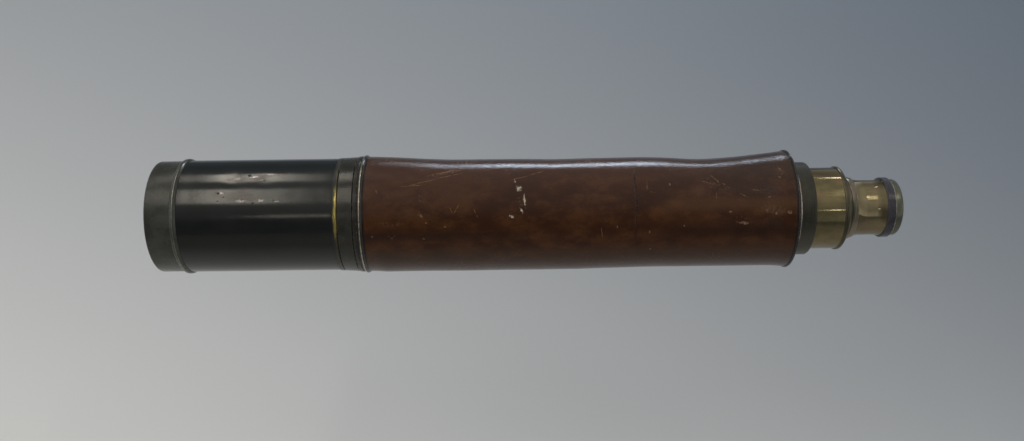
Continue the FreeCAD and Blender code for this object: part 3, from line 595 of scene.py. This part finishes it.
def calf_leather():
    """Polished red-brown calf, with its scratches, chips and scuffs, darker along the crease, and with
    painted sheen, painted reflections and painted shade on it.
    """
    finish, shader, spot = start_finish("polished_calf")
    station = station_of(spot)
    turn = turn_of(spot)
    flat = unroll(spot, station, turn, leather_radius, 0.5)
    cloudy = spot.clouds(22, 4, 0.55)
    blotch = spot.scaled(75, 130).clouds(1.0, 5, 0.6)
    fine = spot.clouds(700, 4, 0.6)
    grained = spot.node("TexVoronoi", {"feature": "SMOOTH_F1"}, {
        "Vector": spot, "Scale": 1500, "Smoothness": 0.35,
    })
    ragged = (spot.clouds(1300, 5, 0.8) - 0.5) * 3.2

    hide = (blotch * 0.55 + cloudy * 0.45).rise(0.40, 0.60)
    hide = hide.between((0.044, 0.0130, 0.0030), (0.096, 0.0335, 0.0088))
    hide = (cloudy.rise(0.48, 0.66) * 0.45).between(hide, (0.046, 0.0130, 0.0035))
    # Painted sheen: the top and far side of the leather are made paler and mauve, paler towards the front.
    painted_top_sheen = station.rise(265, 320).between((0.082, 0.040, 0.026), (0.056, 0.034, 0.025))
    hide = (turn.rise(44, 4) * 0.6).between(hide, painted_top_sheen)
    hide = (fine.rise(0.5, 0.7) * 0.35).between(hide, (0.022, 0.009, 0.004))
    # Painted reflection: a paler red band along the rear of the leather, on the near side.
    painted_reflection_band = turn.near(47, 11) * station.rise(262, 282) * 0.5
    hide = painted_reflection_band.between(hide, (0.115, 0.050, 0.018))
    # Painted shade: a darker band low on the near side, at the front and at the rear.
    painted_shade_band = turn.near(74, 9) * station.rise(215, 165) | turn.near(72, 14) * station.rise(255, 285)
    hide = (painted_shade_band * 0.8).between(hide, (0.030, 0.0095, 0.0030))
    # Painted reflection: paler below, where the pale floor is reflected on the underside.
    hide = (turn.rise(82, 96) * 0.5).between(hide, (0.056, 0.0230, 0.0080))

    scratches = marks(flat, [
        (155, 8, 12, 0.5, -15), (159, 6, 14, 0.5, -29), (160, 12, 18, 0.4, -16),
        (146, 20, 20, 0.4, -16), (140, 24, 15, 0.35, -4), (152, 10, 12, 0.35, -20),
        (164, 5, 9, 0.4, -25), (206, 10, 12, 0.55, -22), (197, 16, 11, 0.35, -15),
        (164, 48, 7, 0.4, -60), (161, 49, 5, 0.35, 62), (174, 52, 6, 0.4, 67),
        (264, 26, 8, 0.35, 92), (267, 34, 4, 0.4, 10), (300, 38, 4, 0.4, 88),
        (315, 39, 8, 0.45, 28), (300, 20, 10, 0.45, 52), (305, 27, 8, 0.35, 40),
        (295, 24, 7, 0.35, 20), (129, 75, 4, 0.5, 39), (131, 74, 3, 0.4, -40),
        (240, 73, 7, 0.35, 85), (320, 33, 7, 0.35, 10), (122, 30, 3, 0.4, 85),
    ], leather_radius)
    torn = marks(flat, [
        (196.8, 28, 8.4, 6.4, 70), (199.6, 40, 14.0, 3.0, 84), (198.0, 50, 6.0, 3.0, 60),
        (192.8, 56, 6.5, 3.0, 30), (194.8, 20, 5.0, 1.8, 80),
    ], leather_radius, 0.0)
    chips = (torn * 0.9 + ragged).rise(0.66, 0.82) * torn.rise(0.0, 0.2)
    flecks = marks(flat, [
        (145.5, 54, 2.4, 0.9, 50), (158, 65, 1.6, 1.0, 0), (148, 61, 1.2, 0.7, 0),
        (146.5, 77, 1.2, 0.8, 60), (119.5, 74, 1.0, 1.6, 10), (276, 26, 1.8, 1.0, 80),
        (327.7, 40, 2.0, 0.8, 0), (335, 8, 2.8, 1.3, 60), (334, 19, 2.4, 1.0, 60),
        (326, 54, 1.4, 1.8, 0), (331, 56, 1.2, 1.4, 0), (338, 55, 3.0, 2.2, 30),
        (307, 54, 1.6, 1.2, 0), (314, 65, 6.5, 1.9, 6), (248, 67, 1.4, 0.8, 80),
        (265, 73, 2.4, 0.6, 85), (283, 67, 1.4, 0.8, 70), (266, 92, 1.6, 0.6, 85),
    ], leather_radius)
    scuffs = marks(flat, [
        (145, 37, 12, 4.0, 40), (145, 53, 8, 3.0, 60), (128, 62, 24, 4.6, 0),
        (198, 40, 12, 9.0, 70), (300, 26, 20, 11.0, 30), (312, 62, 18, 7.0, 8),
        (330, 52, 20, 8.0, 10), (262, 40, 9, 4.0, 80), (336, 14, 10, 8.0, 60),
        (156, 9, 26, 5.0, -22),
    ], leather_radius, 0.0)
    scuffed = scuffs.rise(0.0, 0.7) * (fine * 0.5 + ragged * 0.1 + blotch * 0.5).rise(0.44, 0.62)
    # Darker along the crease, broken in places.
    crease_line = (station + (blotch - 0.5) * 3).near(257.9, 0.8)
    crease_line = crease_line * (flat.clouds(0.45, 3, 0.6) * 1.4).rise(0.5, 0.8)
    crease_line = crease_line * turn.near(40, 52).rise(0.0, 0.35)
    rim = (tube_rear - station).rise(1.4, 0.2) | (station - tube_front).rise(1.2, 0.2)

    hide = (scuffed * 0.35).between(hide, (0.17, 0.085, 0.040))
    hide = (torn * 0.7).between(hide, (0.030, 0.016, 0.007))
    hide = (scratches * fine.rise(0.36, 0.52) * 0.6).between(hide, (0.36, 0.20, 0.065))
    hide = (flecks * fine.rise(0.36, 0.54) * 0.55).between(hide, (0.40, 0.27, 0.15))
    hide = chips.between(hide, (0.74, 0.60, 0.44))
    hide = (crease_line * 0.9).between(hide, (0.010, 0.004, 0.003))
    hide = (rim * 0.75).between(hide, (0.012, 0.008, 0.007))

    height = 0.5 * grained + 1.8 * fine + 1.6 * blotch - 1.5 * chips - 2.0 * crease_line
    relief = spot.node("Bump", None, {"Height": height, "Distance": 0.00008, "Strength": 0.6})
    gloss = 0.14 + blotch.rise(0.4, 0.7) * 0.05 + fine.rise(0.45, 0.62) * 0.10
    gloss = gloss + scuffed * 0.12 + scratches * 0.1 + chips * 0.35
    feed(shader, {
        "Base Color": hide,
        "Roughness": gloss,
        "Specular IOR Level": 0.33,
        "Normal": relief,
    })
    return finish


leather = thin_tube(
    "leather_sleeve", leather_outside, leather_inside, steps(tube_front, tube_rear, 0.9), 256
)
leather.data.materials.append(calf_leather())
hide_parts("leather_cover")
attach(leather, "barrel")


def waxed_thread():
    """Twisted linen thread, waxed, and paler where it has worn."""
    finish, shader, spot = start_finish("waxed_thread")
    twist = spot.node("TexWave", {"bands_direction": "DIAGONAL"}, {
        "Vector": spot, "Scale": 900, "Distortion": 1.0,
    }, out=1)
    worn = spot.clouds(600, 3, 0.6)
    relief = spot.node("Bump", None, {"Height": twist, "Distance": 0.00006, "Strength": 0.8})
    feed(shader, {
        "Base Color": worn.between((0.12, 0.085, 0.05), (0.30, 0.23, 0.14)),
        "Roughness": 0.55 + worn * 0.2,
        "Normal": relief,
    })
    return finish


def stitches(name, count, thread=0.26, span=2.6):
    """Thread of that radius in mm passing over the seam, one arched stitch at each pair of holes, which
    lie that many degrees to either side."""
    mesh = bmesh.new()
    sides = 8
    bends = 9
    side = Vector((1, 0, 0)) * MM
    angles = [2 * math.pi * i / sides for i in range(sides)]
    for number in range(count):
        station = tube_front + (tube_rear - tube_front) * (number + 0.5) / count
        rings = []
        for bend in range(bends):
            share = bend / (bends - 1) * 2 - 1
            turn = 180 + share * span
            lean = 0.5 * share
            lift = leather_outside(station, turn) + 0.16 - 0.5 * abs(share) ** 3
            centre = tube_point(station + lean, turn, lift)
            out = tube_point(0, turn, 1) - tube_point(0, turn, 0)
            ring = [centre + (out * math.cos(a) + side * math.sin(a)) * thread for a in angles]
            rings.append([mesh.verts.new(place) for place in ring])
        for ring, following in zip(rings, rings[1:]):
            for i in range(sides):
                mesh.faces.new((ring[i - 1], ring[i], following[i], following[i - 1])).smooth = True
        mesh.faces.new(rings[0])
        mesh.faces.new(list(reversed(rings[-1])))
    return make_piece(name, mesh)


seam = stitches("leather_seam_stitches", 57)
seam.data.materials.append(waxed_thread())
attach(seam, "barrel")


# ---- Rear ring, draw bush and guide sleeve ---------------------------------------------------------
# A thin rim screwed into the barrel ends the leather. The bush screws into it and guides the draw: a
# bright flange, a cove and a bronzed step. The slit sleeve behind grips the draw and is painted black.

rim_black = blackened_brass(
    "blackened_rear_rim", (0.012, 0.011, 0.010), (0.30, 0.22, 0.14), [(343.2, 0.35, 0.45)]
)
give(rim_black, "rear_end_ring")


def bronzed_brass(name, light, dark, rubbed, rings, gloss=0.32, underside_painted_light=0.0):
    """Brass bronzed olive, with a rubbed metal line on its edges, and painted light underneath that makes
    it paler there by that share.
    """
    finish, shader, spot = start_finish(name)
    cloudy = spot.clouds(110, 5, 0.6)
    fine = spot.clouds(1000, 3, 0.6)
    around = spot.scaled(3800, 50).clouds(1.0, 3, 0.55)
    worn = rubbed_through(spot, rings)
    film = (cloudy * 0.6 + around * 0.4).rise(0.38, 0.64).between(light, dark)
    # Painted light: paler on the underside, lit from the pale floor.
    film = (turn_of(spot).rise(66, 88) * underside_painted_light).between(film, times(light, 1.5))
    metal = fine.rise(0.3, 0.7).between(rubbed, times(rubbed, 0.6))
    height = around * 0.6 + fine * 0.4 - worn * 0.5
    relief = spot.node("Bump", None, {"Height": height, "Distance": 0.00003, "Strength": 0.6})
    feed(shader, {
        "Base Color": worn.between(film, metal),
        "Metallic": worn * 0.2 + 0.8,
        "Roughness": gloss + cloudy * 0.12 - worn * 0.12,
        "Normal": relief,
    })
    return finish


bush_bronze = bronzed_brass(
    "bronzed_bush", (0.072, 0.066, 0.049), (0.044, 0.042, 0.030), (0.66, 0.52, 0.42),
    [(345.7, 1.1, 1.3), (354.3, 0.5, 0.3)], 0.32, 0.85,
)
give(bush_bronze, "draw_bush")
give(tube_black, "draw_guide_sleeve")


# ---- Sunshade: front ring, tube and guide ring -----------------------------------------------------
# Slides on the objective tube. The ring and the tube are blackened and lacquered, pitted where damp has
# got in, and rubbed brown by hands. The guide ring behind is the same brass, worn bare to a wavy line.

shade_front = (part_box("sunshade_tube")[0].x - front_edge) / MM
shade_rear = (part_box("sunshade_tube")[1].x - front_edge) / MM
shade_radius = (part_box("sunshade_tube")[1].z - axis_height) / MM
SHADE_WALL = 1.1


def shade_outside(station, turn):
    """Radius of the shade's tube, with the shallow dents of long use, in mm."""
    angle = math.radians(turn)
    held = ease(station, 17, 24) * (1 - ease(station, 92, 98))
    ripple = noise.noise(Vector((station / 30, math.cos(angle) * 1.6, math.sin(angle) * 1.6)))
    small = noise.noise(Vector((station / 6.0, math.cos(angle) * 5, math.sin(angle) * 5 + 7)))
    dents = 0.16 * bell(station - 46, 5) * bow(turn_between(turn, 9), 16)
    dents += 0.12 * bell(station - 63, 4) * bow(turn_between(turn, 14), 12)
    dents += 0.20 * bell(station - 70, 6) * bow(turn_between(turn, -110), 18)
    return shade_radius - held * (0.03 + 0.04 * ripple + 0.008 * small + dents)


def lacquered_shade():
    """Black lacquer, rubbed brown in two long patches where it is held, flecked bare and pitted there,
    with a painted reflection making its top paler and bluer.
    """
    finish, shader, spot = start_finish("lacquered_shade")
    turn = turn_of(spot)
    flat = unroll(spot, station_of(spot), turn, shade_radius, 0.8)
    cloudy = spot.clouds(60, 5, 0.6)
    fine = spot.clouds(800, 4, 0.6)
    bands = spot.scaled(30, 260).clouds(1.0, 4, 0.6)
    ground = (cloudy * 0.5 + bands * 0.5).rise(0.35, 0.65)
    ground = ground.between((0.0035, 0.0048, 0.0044), (0.0085, 0.0100, 0.0088))
    # Painted reflection: the top and far side made a little paler and bluer.
    ground = (turn.rise(24, -10) * 0.7).between(ground, (0.0065, 0.0105, 0.0120))

    handled = marks(flat, [
        (26, 31, 17, 7.0, 0), (45, 31, 46, 9.0, 0), (54, 34, 22, 5.5, 4),
        (50, 13, 44, 5.5, -3), (62, 9, 30, 4.0, -4),
    ], shade_radius, 0.0)
    rubbed = (handled * 0.8 + (cloudy - 0.5) * 1.4 + (bands - 0.5) * 1.2).rise(0.25, 1.0)
    flecks = marks(flat, [
        (48, 12, 9.0, 3.2, -16), (65, 6.5, 9.0, 1.8, -8), (61, 14, 5.0, 2.2, 0),
        (51, 37, 9.0, 3.2, 4), (62, 37, 9.0, 2.6, 0), (40, 29, 7.0, 3.0, 0),
        (70, 38, 5.0, 1.2, 0), (57, 10, 9.0, 2.4, -10), (96, -6, 1.6, 1.2, 0),
    ], shade_radius, 0.0)
    broken = (spot.clouds(1700, 4, 0.8) - 0.5) * 3.4
    flecks = (flecks * 0.7 + broken).rise(0.58, 0.80) * flecks.rise(0.0, 0.2)
    pits = marks(flat, [
        (39, 29, 2.0, 1.3, 30), (53.9, 8, 2.6, 1.3, 20), (62.4, 15, 1.4, 0.9, 0),
        (51.6, 36, 1.4, 1.0, 0), (53, 39, 1.0, 0.7, 0), (57.5, 39.5, 1.2, 0.7, 0),
        (42, 33, 0.9, 0.6, 0), (39, 37, 1.0, 0.7, 0), (68, 37, 0.9, 0.6, 0),
    ], shade_radius)
    speckle = (spot.clouds(1500, 3, 0.6) + cloudy * 0.3).rise(0.82, 0.90) * 0.4
    pits = pits | speckle * handled

    colour = (rubbed * 0.6).between(ground, (0.062, 0.046, 0.038))
    colour = flecks.between(colour, (0.42, 0.35, 0.32))
    colour = pits.between(colour, (0.006, 0.005, 0.004))
    height = fine * 0.5 + 0.5 * spot.clouds(330, 3, 0.5) - 1.2 * pits - 0.3 * rubbed
    relief = spot.node("Bump", None, {"Height": height, "Distance": 0.00004, "Strength": 0.5})
    feed(shader, {
        "Base Color": colour,
        "Metallic": rubbed * 0.2 + flecks * 0.5,
        "Roughness": 0.14 + cloudy.rise(0.4, 0.7) * 0.05 + rubbed * 0.04 + pits * 0.3,
        "IOR": 1.54,
        "Specular Tint": (1.0, 0.99, 0.92),
        "Normal": relief,
    })
    return finish


sunshade = thin_tube(
    "sunshade_fine_tube", shade_outside, lambda station, turn: shade_radius - SHADE_WALL,
    steps(shade_front, shade_rear, 0.8), 220,
)
sunshade.data.materials.append(lacquered_shade())
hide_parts("sunshade_tube")
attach(sunshade, "sunshade")
shade_ring = blackened_brass(
    "lacquered_shade_ring", (0.032, 0.033, 0.026), (0.34, 0.32, 0.25),
    [(0.1, 0.7, 0.42), (15.3, 0.5, 0.8)], 0.2,
)
give(shade_ring, "sunshade_front_ring")


def worn_ring(name):
    """Brass ring whose lacquer is left only in patches, with a wavy edge of bare yellow metal."""
    finish, shader, spot = start_finish(name)
    fine = spot.clouds(900, 4, 0.65)
    waver = (spot.clouds(160, 3, 0.6) - 0.5) * 3.2
    bare = (station_of(spot) + waver).near(100.4, 1.1)
    bare = bare * (fine * 0.8 + spot.clouds(240, 3) * 0.5).rise(0.42, 0.62)
    shown = bare * (turn_of(spot).near(50, 34).rise(0.0, 0.7) * 0.95 + 0.05)
    relief = spot.node("Bump", None, {"Height": fine - bare, "Distance": 0.00005, "Strength": 0.6})
    feed(shader, {
        "Base Color": shown.between((0.014, 0.014, 0.010), (0.62, 0.50, 0.14)),
        "Metallic": shown * 0.9 + 0.05,
        "Roughness": 0.30 - shown * 0.06,
        "Normal": relief,
    })
    return finish


give(worn_ring("worn_guide_ring"), "sunshade_guide_ring")


# ---- Draw: tube, stop ring and end ring ------------------------------------------------------------
# A drawn brass tube, once lacquered, gone olive and tan with handling. A black stop ring is soldered on
# its inner end, and a ring with a thin bead is soldered on the other for the eyepiece to screw into.


def handled_brass(name, light, dark, red, gloss=0.07, lines=2200):
    """Brass that hands have dulled: olive and tan films in soft patches, fine scratches along it."""
    finish, shader, spot = start_finish(name)
    large = spot.clouds(55, 4, 0.55)
    small = spot.scaled(160, 260).clouds(1.0, 5, 0.6)
    fine = spot.clouds(1400, 3, 0.6)
    drawn = spot.scaled(30, lines).clouds(1.0, 3, 0.6)
    colour = (large * 0.65 + small * 0.35).rise(0.38, 0.66).between(light, dark)
    colour = (spot.clouds(95, 3, 0.5).rise(0.50, 0.72) * 0.7).between(colour, red)
    specks = (fine + small * 0.3).rise(0.80, 0.88)
    colour = (specks * 0.6).between(colour, times(dark, 0.3))
    height = drawn * 0.5 + fine * 0.3
    relief = spot.node("Bump", None, {"Height": height, "Distance": 0.000005, "Strength": 0.5})
    feed(shader, {
        "Base Color": colour,
        "Metallic": 1.0,
        "Roughness": gloss + large.rise(0.4, 0.7) * 0.06 + specks * 0.2,
        "Normal": relief,
    })
    return finish


draw_brass = handled_brass(
    "handled_draw", (0.27, 0.210, 0.105), (0.165, 0.140, 0.072), (0.27, 0.175, 0.108)
)
give(draw_brass, "draw_tube")
give(tube_black, "draw_stop_ring")
end_bronze = bronzed_brass(
    "bronzed_end_ring", (0.115, 0.095, 0.055), (0.060, 0.055, 0.036), (0.34, 0.27, 0.17),
    [(371.6, 0.5, 0.35)], 0.25,
)
give(end_bronze, "draw_end_ring")


# ---- Eyepiece: mount, barrel and the erector inside ------------------------------------------------
# The mount is a beaded ring that screws into the draw. The waisted barrel screws on it, and the long
# erector tube behind holds four lenses in bright screwed cells, with blackened stops between them.

mount_bronze = bronzed_brass(
    "bronzed_mount", (0.225, 0.185, 0.130), (0.125, 0.115, 0.078), (0.42, 0.32, 0.22),
    [(374.4, 0.5, 0.4), (377.4, 0.5, 0.4)], 0.25, 0.7,
)
give(mount_bronze, "eyepiece_mount")
eyepiece_brass = handled_brass(
    "handled_eyepiece", (0.27, 0.215, 0.118), (0.185, 0.152, 0.083), (0.27, 0.178, 0.118), 0.08, 1200
)
give(eyepiece_brass, "eyepiece_barrel")
cell_brass = sliding_brass("screwed_cell_brass", (0.55, 0.44, 0.20), (0.30, 0.23, 0.11), 0.2)
give(cell_brass, "erector_tube", "erector_front_lens_cell", "erector_rear_lens_cell", "field_lens_cell")
give(cell_brass, "eye_lens_retainer")
small_glass = ground_glass("small_lens_glass", (0.97, 0.99, 0.98), 60.0)
give(small_glass, "erector_front_lens", "erector_rear_lens", "field_lens", "eye_lens")
give(tube_black, "erector_stop", "field_stop", "eye_lens_cell")


# ---- Eye cap: ring, cap, shutter, knob, pivot screw and washer -------------------------------------
# A dark ring and a rounded cap screwed on the eyepiece. A brass plate in the cap turns on a steel screw
# to cover the eye hole, and its bright knob runs in a curved slot.

cap_ring = blackened_brass(
    "purple_black_ring", (0.026, 0.023, 0.030), (0.90, 0.86, 0.70),
    [(400.0, 0.6, 1.25), (395.7, 0.25, 0.2)],
)
give(cap_ring, "eye_cap_ring")
cap_bronze = bronzed_brass(
    "bronzed_eye_cap", (0.155, 0.150, 0.108), (0.085, 0.090, 0.062), (0.50, 0.42, 0.33),
    [(403.4, 0.7, 0.4)], 0.2,
)
give(cap_bronze, "eye_cap", "eye_shutter")
give(sliding_brass("knob_brass", (0.58, 0.46, 0.22), (0.34, 0.26, 0.13), 0.15), "shutter_knob")
steel = bright_metal("dull_steel", (0.42, 0.42, 0.43), (0.20, 0.19, 0.19), 0.28, 0.8)
give(steel, "shutter_pivot_screw", "shutter_washer")
